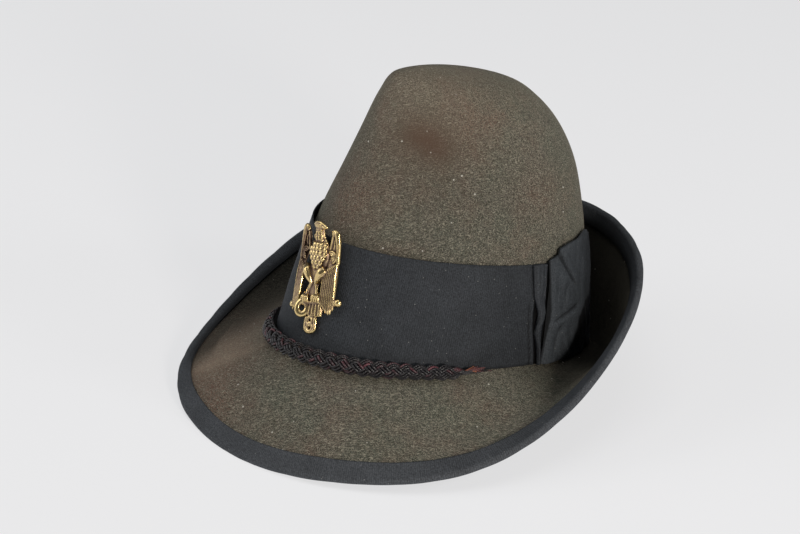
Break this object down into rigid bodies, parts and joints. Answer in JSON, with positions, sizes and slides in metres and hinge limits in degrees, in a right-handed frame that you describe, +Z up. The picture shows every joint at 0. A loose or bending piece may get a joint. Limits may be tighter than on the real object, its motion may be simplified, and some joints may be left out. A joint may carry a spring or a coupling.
{
  "type": "alpine cap",
  "caption": "Felt alpine cap with a tall pinched crown, a brim down in front and turned up behind, a ribbon band with a flat bow, a bound edge, a plaited cord and a cast eagle badge.",
  "frame": {"origin": "centre of the bounding box at the level on which the cap rests", "axes": "+Z up, -Y the front of the cap, +X the wearer's left"},
  "size_m": [0.2836, 0.2891, 0.1994],
  "materials": {
    "felt": "matt wool felt, mottled grey-green",
    "ribbon": "matt ribbed ribbon, charcoal",
    "cord": "plaited cord, dark brown",
    "brass": "antique cast brass"
  },
  "bodies": {
    "root": {"felt_body": "felt", "hat_band": "ribbon", "band_knot": "ribbon", "band_bow": "ribbon", "edge_binding": "ribbon", "braid": "cord", "eagle_badge": "brass"}
  },
  "joints": []
}
